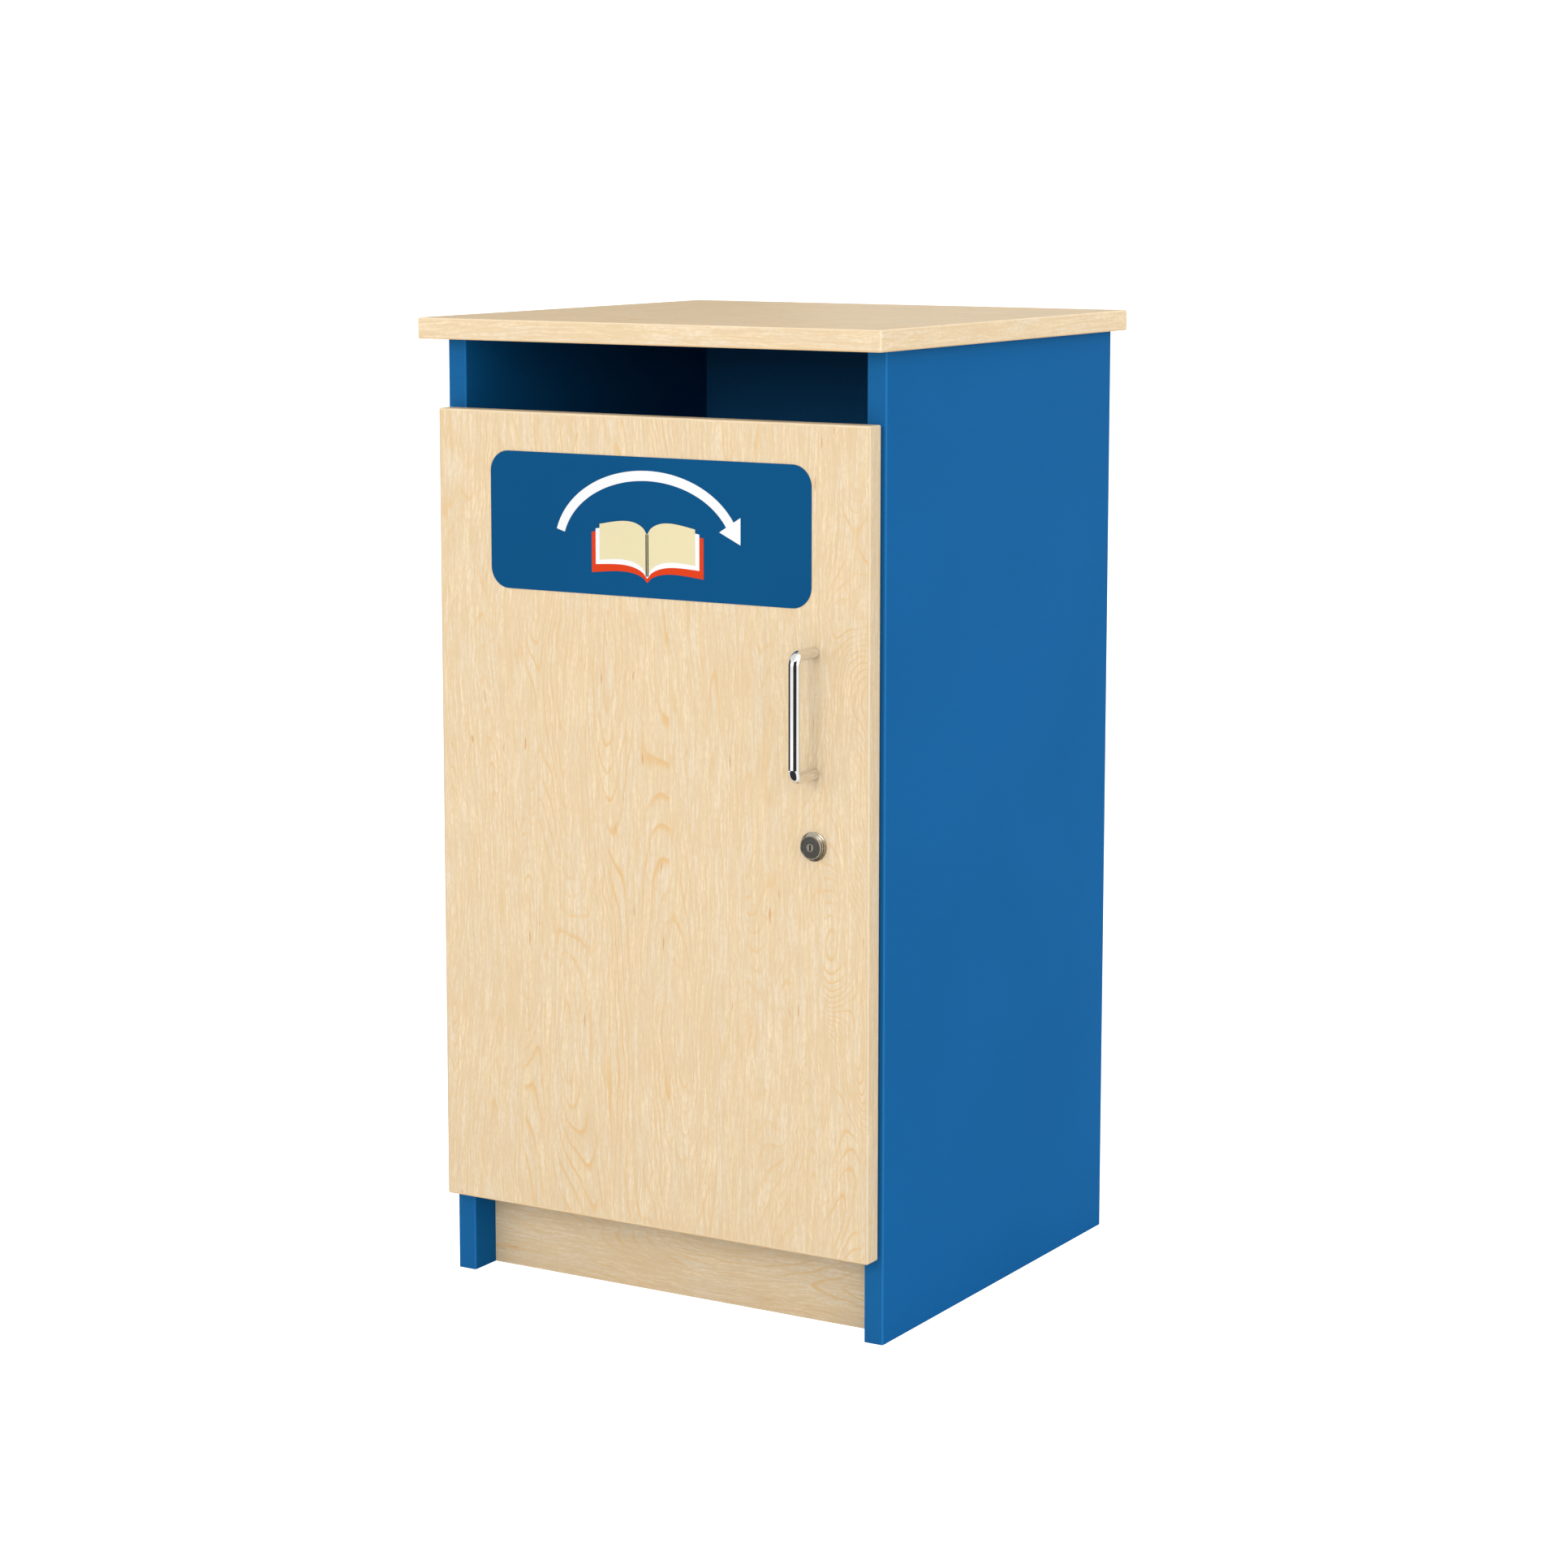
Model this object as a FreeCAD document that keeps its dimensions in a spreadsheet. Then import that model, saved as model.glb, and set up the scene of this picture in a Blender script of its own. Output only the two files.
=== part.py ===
"""Book drop box: a melamine-board cabinet with a deposit slot above a lockable hinged door.

Frame: +X to the right seen from the front, +Y to the back, +Z up, millimetres.
The origin is on the floor, under the centre of the whole box with its handle.
Pieces let into a board (dowels, fittings, screws, hinge cups) are cut out of that board,
so every hole has exactly the place and size of the piece that fills it.
"""
import FreeCAD, Part
import os
import re

from FreeCAD import Placement, Rotation, Vector

DRIVING_DIMENSIONS = [
    # carcass of faced board
    ("board", 18, "thickness of the faced boards"),
    ("half_width", 215, "half the width over the side panels"),
    ("carcass_depth", 410, "depth of the side panels with their edging"),
    ("side_height", 822, "height of the side panels, which stand on the floor"),
    ("front_y", -182, "front edge of the side panels"),
    ("band", 2, "thickness of the edging strip"),
    ("arris", 1.6, "rounding of the edging's long edges"),
    ("top_side_over", 11, "overhang of the top at each side"),
    ("top_front_over", 29, "overhang of the top at the front"),
    ("top_back_over", 11, "overhang of the top at the back"),
    ("base_z", 75, "underside of the base panel"),
    ("plinth_set_back", 31, "plinth face behind the front edge of the sides"),
    ("back_thick", 8, "thickness of the back panel"),
    ("back_y", 390, "front face of the back panel behind the front edge"),
    ("groove", 8, "depth of the grooves that hold the back panel"),
    # joints of the carcass
    ("dowel_rad", 4, "radius of a dowel"),
    ("dowel_length", 30, "length of a dowel"),
    ("dowel_bite", 10, "length of a dowel inside the blind hole of the second board"),
    ("dowel_inset", 60, "first dowel behind the front edge"),
    ("dowel_pitch", 270, "distance between the two dowels of a joint"),
    ("fitting_inset", 92, "first cam fitting behind the front edge"),
    ("fitting_pitch", 206, "distance between the two cam fittings of a joint"),
    ("fitting_reach", 34, "centre of a cam disc from the side panel"),
    ("cam_disc_rad", 7.5, "radius of a cam disc"),
    ("cam_disc_deep", 12.5, "depth of a cam disc"),
    ("bolt_rad", 2.5, "radius of a cam bolt"),
    ("bolt_bite", 11, "length of a cam bolt inside the side panel"),
    # door
    ("door_half", 211.5, "half the width of the door"),
    ("door_bottom", 73, "bottom edge of the door"),
    ("door_height", 690, "height of the door"),
    ("door_gap", 2, "gap between the door and the side panels"),
    ("label_width", 315, "width of the printed label"),
    ("label_height", 117, "height of the printed label"),
    ("label_z", 671, "centre height of the printed label"),
    ("label_corner", 18, "corner radius of the printed label"),
    ("label_thick", 0.5, "thickness of the printed label"),
    ("buffer_rad", 4, "radius of a door buffer"),
    ("buffer_thick", 1.7, "thickness of a door buffer"),
    ("buffer_inset", 20, "door buffer from the door's end"),
    # handle
    ("grip_x", 160, "handle and lock from the centre of the door"),
    ("grip_z", 528, "centre height of the handle"),
    ("grip_pitch", 100, "distance between the handle's fixing holes"),
    ("grip_rad", 5, "radius of the handle bar"),
    ("grip_reach", 32, "centre of the handle bar off the door face"),
    ("grip_bend", 8, "bend radius of the handle's centre line"),
    ("grip_screw_rad", 2, "radius of a handle screw"),
    ("grip_screw_bite", 10, "length of a handle screw inside the foot"),
    ("grip_screw_cap", 2.2, "height of a handle screw's head"),
    # cam lock
    ("lock_z", 418, "centre height of the lock"),
    ("barrel_rad", 9.5, "radius of the lock's barrel"),
    ("barrel_rear", 5, "rear end of the barrel behind the front edge of the sides"),
    ("flange_rad", 12.25, "radius of the lock's head at the door"),
    ("flange_step", 1.5, "height of each step of the lock's head"),
    ("flange_shrink", 1.1, "how much each step of the head is narrower than the last"),
    ("nut_thick", 4, "thickness of the lock's nut"),
    ("nut_rad", 13.4, "radius over the corners of the lock's nut"),
    ("plug_rad", 3.4, "radius of the lock's plug"),
    ("plug_play", 0.05, "running clearance of the plug"),
    ("plug_proud", 0.3, "how far the plug stands out of the lock's head"),
    ("keyway_width", 1.3, "width of the keyway"),
    ("keyway_height", 5, "height of the keyway"),
    ("keyway_deep", 14, "depth of the keyway"),
    ("cam_y", 6, "front face of the cam behind the front edge of the sides"),
    ("cam_thick", 2, "thickness of the cam"),
    ("cam_reach", 30, "length of the cam from the plug's axis"),
    ("cam_half", 7, "half the width of the cam"),
    ("cam_screw_rad", 1.5, "radius of the screw that holds the cam"),
    ("cam_screw_head", 3.6, "radius of the cam screw's head"),
    ("cam_screw_cap", 2, "height of the cam screw's head"),
    ("cam_screw_bite", 8, "length of the cam screw inside the plug"),
    ("keep_z_half", 16, "half the height of the keep"),
    ("keep_reach", 19, "reach of the keep from the side panel"),
    ("keep_thick", 2, "thickness of the keep's sheet"),
    ("keep_y", 3, "front face of the keep behind the front edge of the sides"),
    ("keep_deep", 26, "depth of the keep's fixing flange"),
    ("keep_screw_y", 17, "keep screws behind the keep's front face"),
    ("keep_screw_lift", 9, "keep screw above or below the lock's height"),
    ("keep_screw_bite", 11, "length of a keep screw inside the side panel"),
    ("small_screw_rad", 1.75, "radius of a keep or cup screw"),
    ("small_screw_cap", 1.5, "height of a keep or cup screw's head"),
    ("keep_screw_head", 3.2, "radius of a keep screw's head"),
    # single-pivot cup hinges
    ("hinge_inset", 100, "hinge centre from the door's end"),
    ("cup_rad", 17.5, "radius of a hinge cup"),
    ("cup_deep", 13, "depth of a hinge cup"),
    ("cup_wall", 0.8, "thickness of a hinge cup's wall"),
    ("cup_tab", 3, "wood between the cup and the door's edge"),
    ("cup_flange", 1.1, "thickness of the cup's flange"),
    ("flange_out", 6, "edge of the cup's flange outside the side panel's inner face"),
    ("flange_width", 27, "width of the cup's flange"),
    ("flange_half", 31, "half the height of the cup's flange"),
    ("cup_screw_x", 6, "cup screws from the cup's centre, away from the door's edge"),
    ("cup_screw_lift", 24, "cup screw above or below the hinge centre"),
    ("cup_screw_head", 3.4, "radius of a cup screw's head"),
    ("cup_screw_bite", 12, "length of a cup screw inside the door"),
    ("lug_side", 1.9, "edge of a cup's lug from the pivot"),
    ("lug_width", 4, "width of a cup's lug"),
    ("lug_over", 2.4, "how far a cup's lug reaches behind the pivot"),
    ("lug_gap", 4.1, "half the gap between the lugs of a cup"),
    ("pin_out", 7.6, "pivot from the side panel's inner face, towards its outer face"),
    ("pin_front", 11.7, "pivot in front of the side panel's front edge"),
    ("pin_rad", 1.25, "radius of a hinge pin"),
    ("pin_half", 7, "half the length of a hinge pin"),
    ("knuckle_rad", 2.2, "radius of the arm's knuckle"),
    ("knuckle_bore", 1.3, "bore of the arm's knuckle"),
    ("knuckle_half", 3.7, "half the height of the knuckle and neck"),
    ("neck", 13, "reach of the arm's gooseneck from the pivot"),
    ("neck_rise", 10, "how far the gooseneck reaches behind the front edge"),
    ("steel", 2.5, "thickness of the hinge arm"),
    ("arm_front", 4, "front end of the hinge arm behind the front edge"),
    ("arm_half", 7, "half the height of the hinge arm"),
    ("arm_rear", 66, "rear end of the hinge arm behind the front edge"),
    ("plate_y", 37, "row of mounting plate screws behind the front edge"),
    ("plate_wing", 2, "thickness of the mounting plate's wings"),
    ("plate_front", 22, "front end of the plate's block behind the front edge"),
    ("plate_length", 40, "length of the plate's block"),
    ("plate_over", 2, "how far the block stands above and below the arm"),
    ("wing_deep", 16, "width of the plate's wings"),
    ("wing_half", 22, "half the height over the plate's wings"),
    ("plate_screw_lift", 16, "plate screw above or below the hinge centre"),
    ("plate_screw_head", 3.8, "radius of a plate screw's head"),
    ("plate_screw_cap", 1.8, "height of a plate or arm screw's head"),
    ("arm_screw_y", 52, "arm screw behind the front edge"),
    ("arm_screw_rad", 2, "radius of an arm screw"),
    ("arm_screw_head", 3.6, "radius of an arm screw's head"),
    ("arm_screw_bite", 3, "length of an arm screw inside the plate"),
]

ALIASES = {alias for alias, value, meaning in DRIVING_DIMENSIONS}

doc = FreeCAD.newDocument("book_drop_box")
sheet = doc.addObject("Spreadsheet::Sheet", "Dims")
for row, (alias, value, meaning) in enumerate(DRIVING_DIMENSIONS, start=1):
    sheet.set(f"A{row}", meaning)
    sheet.set(f"B{row}", str(value))
    sheet.setAlias(f"B{row}", alias)
doc.recompute()

# Where a piece's own Z axis points, as the turn that takes it there.
POINTING = {
    "+z": Rotation(),
    "-z": Rotation(Vector(1, 0, 0), 180),
    "+x": Rotation(Vector(0, 1, 0), 90),
    "-x": Rotation(Vector(0, 1, 0), -90),
    "+y": Rotation(Vector(1, 0, 0), -90),
    "-y": Rotation(Vector(1, 0, 0), 90),
}
nodes = []


def bound(expression):
    """An expression in the sheet's aliases, with each alias turned into a cell reference."""
    def cell(match):
        word = match.group()
        return f"Dims.{word}" if word in ALIASES else word
    return re.sub(r"[a-z][a-z_0-9]*", cell, str(expression))


def place(shape, at, turn=None):
    """Puts an object at a point given by three expressions."""
    shape.Placement = Placement(Vector(), turn or Rotation())
    for axis, expression in zip("xyz", at):
        shape.setExpression(f"Placement.Base.{axis}", bound(expression))
    return shape


def box(name, low, size):
    """A box from its low corner and its size along X, Y and Z."""
    shape = doc.addObject("Part::Box", name)
    for side, expression in zip(("Length", "Width", "Height"), size):
        shape.setExpression(side, bound(expression))
    return place(shape, low)


def rod(name, start, pointing, radius, length):
    """A round rod from its start point along one direction."""
    shape = doc.addObject("Part::Cylinder", name)
    shape.setExpression("Radius", bound(radius))
    shape.setExpression("Height", bound(length))
    return place(shape, start, POINTING[pointing])


def fuse(name, *pieces):
    shape = doc.addObject("Part::MultiFuse", name)
    shape.Shapes = list(pieces)
    shape.Refine = True
    return shape


def group(name, pieces):
    """Separate solids kept together as one object."""
    shape = doc.addObject("Part::Compound", name)
    shape.Links = list(pieces)
    return shape


def carve(name, blank, *pieces):
    """The blank with the room for each piece cut away."""
    shape = doc.addObject("Part::Cut", name)
    shape.Base = blank
    shape.Tool = pieces[0] if len(pieces) == 1 else group(f"{name}_room", pieces)
    return shape


def rounded(name, blank, radius, picks_edge):
    """The blank with the edges that picks_edge accepts rounded."""
    doc.recompute()
    shape = doc.addObject("Part::Fillet", name)
    shape.Base = blank
    size = sheet.get(radius)
    edges = enumerate(blank.Shape.Edges, start=1)
    shape.Edges = [(number, size, size) for number, edge in edges if picks_edge(edge)]
    return shape


def node(shape, label):
    """Names a finished sub-part and keeps it for export."""
    shape.Label = label
    nodes.append(shape)
    return shape


def runs_along(edge, axis):
    start, end = edge.Vertexes[0].Point, edge.Vertexes[-1].Point
    return abs((end - start).normalize().dot(axis)) > 0.99


def screw(name, head_at, pointing, head_radius, head_height, radius, length):
    """A pan-head screw; head_at is the seat under its head, and it points into the board."""
    outward = {"+": "-", "-": "+"}[pointing[0]] + pointing[1]
    head = rod(f"{name}_head", head_at, outward, head_radius, head_height)
    return fuse(name, head, rod(f"{name}_shank", head_at, pointing, radius, length))


INNER = "(half_width - board)"
DOOR_BACK = "(front_y - door_gap)"
DOOR_FRONT = "(front_y - door_gap - board)"
HINGE_HEIGHTS = {"lower": "(door_bottom + hinge_inset)",
                 "upper": "(door_bottom + door_height - hinge_inset)"}
SIDES = {"left": -1, "right": 1}
LOCK_STEPS = 4


def side_x(sign, distance):
    return f"{sign} * ({distance})"


# ---------------------------------------------------------------- joints of the carcass
def carcass_dowels():
    """Glued dowels: four into the base, two into each rail and four up into the top."""
    dowels = []
    for side, sign in SIDES.items():
        inward = "+x" if sign < 0 else "-x"
        start_x = side_x(sign, f"{INNER} + dowel_bite")
        spots = [("front_y + dowel_inset", "base_z + board / 2"),
                 ("front_y + dowel_inset + dowel_pitch", "base_z + board / 2"),
                 ("front_y + plinth_set_back + board / 2", "base_z / 2"),
                 ("front_y + back_y - board / 2", "base_z / 2")]
        for count, (y, z) in enumerate(spots):
            dowels.append(rod(f"dowel_{side}_{count}", (start_x, y, z), inward,
                              "dowel_rad", "dowel_length"))
        for count, y in enumerate(("front_y + dowel_inset", "front_y + dowel_inset + dowel_pitch")):
            spot = (side_x(sign, f"{INNER} + board / 2"), y, "side_height + dowel_bite")
            dowels.append(rod(f"dowel_{side}_top_{count}", spot, "-z", "dowel_rad", "dowel_length"))
    return node(group("dowels", dowels), "dowels")


def cam_fittings():
    """Two bolts and two cam discs at each end of the base panel, turned from below."""
    bolts = []
    discs = []
    for side, sign in SIDES.items():
        inward = "+x" if sign < 0 else "-x"
        for count in range(2):
            y = f"front_y + fitting_inset + {count} * fitting_pitch"
            start = (side_x(sign, f"{INNER} + bolt_bite"), y, "base_z + board / 2")
            bolts.append(rod(f"cam_bolt_{side}_{count}", start, inward,
                             "bolt_rad", "bolt_bite + fitting_reach"))
            centre = (side_x(sign, f"{INNER} - fitting_reach"), y, "base_z")
            discs.append(rod(f"cam_disc_{side}_{count}_blank", centre, "+z",
                             "cam_disc_rad", "cam_disc_deep"))
    bolt_group = node(group("cam_bolts", bolts), "cam_bolts")
    cut_discs = [carve(disc.Name.replace("_blank", ""), disc, bolt)
                 for disc, bolt in zip(discs, bolts)]
    return bolt_group, node(group("cam_discs", cut_discs), "cam_discs")


# ---------------------------------------------------------------- hinges, carcass half
def hinge_arm(name, z):
    """A knuckle on the pivot, a gooseneck out of the cup, and an arm along the side panel."""
    pin = (f"-{INNER} - pin_out", "front_y - pin_front")
    low = f"{z} - knuckle_half"
    high = "2 * knuckle_half"
    half = "steel / 2"
    knuckle = rod(f"{name}_knuckle", (*pin, low), "+z", "knuckle_rad", high)
    neck = box(f"{name}_neck", (pin[0], f"{pin[1]} - {half}", low), (f"neck + {half}", "steel", high))
    riser = box(f"{name}_riser", (f"{pin[0]} + neck - {half}", f"{pin[1]} - {half}", low),
                ("steel", f"pin_front + {half} + neck_rise", high))
    bar = box(f"{name}_bar", (f"{pin[0]} + neck - {half}", "front_y + arm_front", f"{z} - arm_half"),
              ("steel", "arm_rear - arm_front", "2 * arm_half"))
    bore = rod(f"{name}_bore", (*pin, low), "+z", "knuckle_bore", high)
    return carve(name, fuse(f"{name}_blank", knuckle, neck, riser, bar), bore)


def mounting_plate(name, z):
    """A block under the arm with two wings that take the screws."""
    rise = "neck - steel / 2 - pin_out"
    block = box(f"{name}_block", (f"-{INNER}", "front_y + plate_front", f"{z} - arm_half - plate_over"),
                (rise, "plate_length", "2 * (arm_half + plate_over)"))
    wings = box(f"{name}_wings", (f"-{INNER}", "front_y + plate_y - wing_deep / 2", f"{z} - wing_half"),
                ("plate_wing", "wing_deep", "2 * wing_half"))
    return fuse(name, block, wings)


def hinge_carcass_half():
    arms, plates, plate_screws, arm_screws = [], [], [], []
    for level, z in HINGE_HEIGHTS.items():
        seat_x = f"-{INNER} + plate_wing"
        for count, lift in enumerate(("- plate_screw_lift", "+ plate_screw_lift")):
            plate_screws.append(screw(f"plate_screw_{level}_{count}",
                                      (seat_x, "front_y + plate_y", f"{z} {lift}"), "-x",
                                      "plate_screw_head", "plate_screw_cap",
                                      "bolt_rad", "bolt_bite + plate_wing"))
        arm_face = f"-{INNER} - pin_out + neck + steel / 2"
        arm_screws.append(screw(f"arm_screw_{level}", (arm_face, "front_y + arm_screw_y", z), "-x",
                                "arm_screw_head", "plate_screw_cap",
                                "arm_screw_rad", "steel + arm_screw_bite"))
        arms.append(carve(f"hinge_arm_{level}", hinge_arm(f"arm_{level}", z), arm_screws[-1]))
        plates.append(carve(f"hinge_plate_{level}", mounting_plate(f"plate_{level}", z),
                            *plate_screws[-2:], arm_screws[-1]))
    node(group("hinge_arms", arms), "hinge_arms")
    node(group("hinge_plates", plates), "hinge_plates")
    node(group("arm_screws", arm_screws), "arm_screws")
    return node(group("plate_screws", plate_screws), "plate_screws")


# ---------------------------------------------------------------- lock keep on the right side
def lock_keep():
    """An angle of sheet steel: the cam turns behind its front flange."""
    low_z = "lock_z - keep_z_half"
    height = "2 * keep_z_half"
    catch = box("keep_catch", (f"{INNER} - keep_reach", "front_y + keep_y", low_z),
                ("keep_reach", "keep_thick", height))
    foot = box("keep_foot", (f"{INNER} - keep_thick", "front_y + keep_y", low_z),
               ("keep_thick", "keep_deep", height))
    seat_x = f"{INNER} - keep_thick"
    screws = [screw(f"keep_screw_{count}", (seat_x, "front_y + keep_y + keep_screw_y", f"lock_z {lift}"),
                    "+x", "keep_screw_head", "small_screw_cap",
                    "small_screw_rad", "keep_thick + keep_screw_bite")
              for count, lift in enumerate(("- keep_screw_lift", "+ keep_screw_lift"))]
    node(carve("lock_keep", fuse("keep_blank", catch, foot), *screws), "lock_keep")
    return node(group("keep_screws", screws), "keep_screws")


# ---------------------------------------------------------------- carcass boards
def side_panels(let_in, back_room):
    """Each side is a board with a rounded edging strip on its front edge."""
    for side, sign in SIDES.items():
        low_x = "-half_width" if sign < 0 else INNER
        blank = box(f"{side}_side_blank", (low_x, "front_y + band", "0"),
                    ("board", "carcass_depth - band", "side_height"))
        node(carve(f"{side}_side_panel", blank, *let_in[side], back_room), f"{side}_side_panel")
        strip = box(f"{side}_strip", (low_x, "front_y", "0"), ("board", "band", "side_height"))
        front = sheet.get("front_y")

        def on_front(edge):
            return runs_along(edge, Vector(0, 0, 1)) and abs(edge.CenterOfMass.y - front) < 0.01
        node(rounded(f"{side}_side_edging", strip, "arris", on_front), f"{side}_side_edging")


def banded_board(name, low, size, inset, *pieces):
    """A board core inside a ring of edging strip with rounded edges.

    inset tells for X, Y and Z how much of the size is edging on each side.
    """
    core_low = [f"{start} + {edge}" for start, edge in zip(low, inset)]
    core_size = [f"{length} - 2 * {edge}" for length, edge in zip(size, inset)]
    whole = rounded(f"{name}_whole", box(f"{name}_outer", low, size), "arris", lambda edge: True)
    core = box(f"{name}_core", core_low, core_size)
    node(carve(f"{name}_panel", core, *pieces), f"{name}_panel")
    return node(carve(f"{name}_edging", whole, box(f"{name}_inside", core_low, core_size)),
                f"{name}_edging")


def carcass_boards(dowels, bolts, discs, plate_screws, keep_screws):
    back_low = (f"-{INNER} - groove", "front_y + back_y", "base_z")
    back_size = (f"2 * ({INNER} + groove)", "back_thick", "side_height - base_z")
    back = node(box("back_panel", back_low, back_size), "back_panel")
    side_panels({"left": (dowels, bolts, plate_screws), "right": (dowels, bolts, keep_screws)}, back)
    banded_board("top",
                 ("-half_width - top_side_over", "front_y - top_front_over", "side_height"),
                 ("2 * (half_width + top_side_over)",
                  "carcass_depth + top_front_over + top_back_over", "board"),
                 ("band", "band", "0"), dowels)
    base = box("base_blank", (f"-{INNER}", "front_y + band", "base_z"),
               (f"2 * {INNER}", "back_y - band", "board"))
    node(carve("base_panel", base, dowels, group("base_fittings", (bolts, discs))), "base_panel")
    node(box("base_edging", (f"-{INNER}", "front_y", "base_z"), (f"2 * {INNER}", "band", "board")),
         "base_edging")
    rails = {"plinth_board": "front_y + plinth_set_back", "rear_rail": "front_y + back_y - board"}
    for label, y in rails.items():
        rail = box(f"{label}_blank", (f"-{INNER}", y, "0"), (f"2 * {INNER}", "board", "base_z"))
        node(carve(label, rail, dowels), label)


# ---------------------------------------------------------------- hinges, door half
def hinge_cup(name, z, pin, screws):
    """A drawn steel cup with a screwed flange and two lugs that hold the pin."""
    centre_x = "-door_half + cup_tab + cup_rad"
    floor_y = f"{DOOR_BACK} - cup_deep"
    shell = rod(f"{name}_shell", (centre_x, DOOR_BACK, z), "-y", "cup_rad", "cup_deep")
    flange = box(f"{name}_flange", (f"-{INNER} - flange_out", DOOR_BACK, f"{z} - flange_half"),
                 ("flange_width", "cup_flange", "2 * flange_half"))
    hollow = rod(f"{name}_hollow", (centre_x, f"{DOOR_BACK} + cup_flange", z), "-y",
                 "cup_rad - cup_wall", "cup_deep + cup_flange - cup_wall")
    lugs = [box(f"{name}_lug_{count}",
                (f"-{INNER} - pin_out - lug_side", f"{floor_y} + cup_wall / 2", f"{z} {low}"),
                ("lug_width", "cup_deep + door_gap - pin_front + lug_over - cup_wall / 2",
                 "pin_half - lug_gap"))
            for count, low in enumerate(("- pin_half", "+ lug_gap"))]
    cup = carve(f"{name}_cup", fuse(f"{name}_solid", shell, flange), hollow)
    return carve(name, fuse(f"{name}_lugged", cup, *lugs), pin, *screws)


def hinge_door_half():
    cups, pins, screws, rooms = [], [], [], []
    for level, z in HINGE_HEIGHTS.items():
        pin = rod(f"hinge_pin_{level}",
                  (f"-{INNER} - pin_out", "front_y - pin_front", f"{z} - pin_half"), "+z",
                  "pin_rad", "2 * pin_half")
        seat_y = f"{DOOR_BACK} + cup_flange"
        pair = [screw(f"cup_screw_{level}_{count}",
                      ("-door_half + cup_tab + cup_rad + cup_screw_x", seat_y, f"{z} {lift}"), "-y",
                      "cup_screw_head", "small_screw_cap",
                      "small_screw_rad", "cup_flange + cup_screw_bite")
                for count, lift in enumerate(("- cup_screw_lift", "+ cup_screw_lift"))]
        cups.append(hinge_cup(f"hinge_cup_{level}", z, pin, pair))
        rooms.append(rod(f"cup_room_{level}", ("-door_half + cup_tab + cup_rad", DOOR_BACK, z), "-y",
                         "cup_rad", "cup_deep"))
        pins.append(pin)
        screws.extend(pair)
    node(group("hinge_cups", cups), "hinge_cups")
    node(group("hinge_pins", pins), "hinge_pins")
    return group("cup_rooms", rooms), node(group("cup_screws", screws), "cup_screws")


# ---------------------------------------------------------------- handle
def bend(name, z, toward_bar, away):
    """A quarter bend of the handle bar, from one direction to the other."""
    shape = doc.addObject("Part::Torus", name)
    shape.setExpression("Radius1", bound("grip_bend"))
    shape.setExpression("Radius2", bound("grip_rad"))
    shape.Angle3 = 90
    turn = Rotation(toward_bar, away, toward_bar.cross(away), "XYZ")
    return place(shape, ("grip_x", f"{DOOR_FRONT} - grip_reach + grip_bend", z), turn)


def handle():
    """A bent round bar whose two feet are screwed to the door from behind."""
    top_z = "grip_z + grip_pitch / 2"
    low_z = "grip_z - grip_pitch / 2"
    leg = "grip_reach - grip_bend"
    legs = [rod(f"handle_leg_{place_name}", ("grip_x", DOOR_FRONT, z), "-y", "grip_rad", leg)
            for place_name, z in (("upper", top_z), ("lower", low_z))]
    bar = rod("handle_grip", ("grip_x", f"{DOOR_FRONT} - grip_reach", f"{low_z} + grip_bend"), "+z",
              "grip_rad", "grip_pitch - 2 * grip_bend")
    up, out, down = Vector(0, 0, 1), Vector(0, -1, 0), Vector(0, 0, -1)
    bends = [bend("handle_bend_upper", f"{top_z} - grip_bend", up, out),
             bend("handle_bend_lower", f"{low_z} + grip_bend", out, down)]
    screws = [screw(f"handle_screw_{place_name}", ("grip_x", DOOR_BACK, z), "-y",
                    "2 * grip_screw_rad", "grip_screw_cap", "grip_screw_rad",
                    "board + grip_screw_bite")
              for place_name, z in (("upper", top_z), ("lower", low_z))]
    node(carve("handle", fuse("handle_blank", *legs, bar, *bends), *screws), "handle")
    return node(group("handle_screws", screws), "handle_screws")


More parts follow.
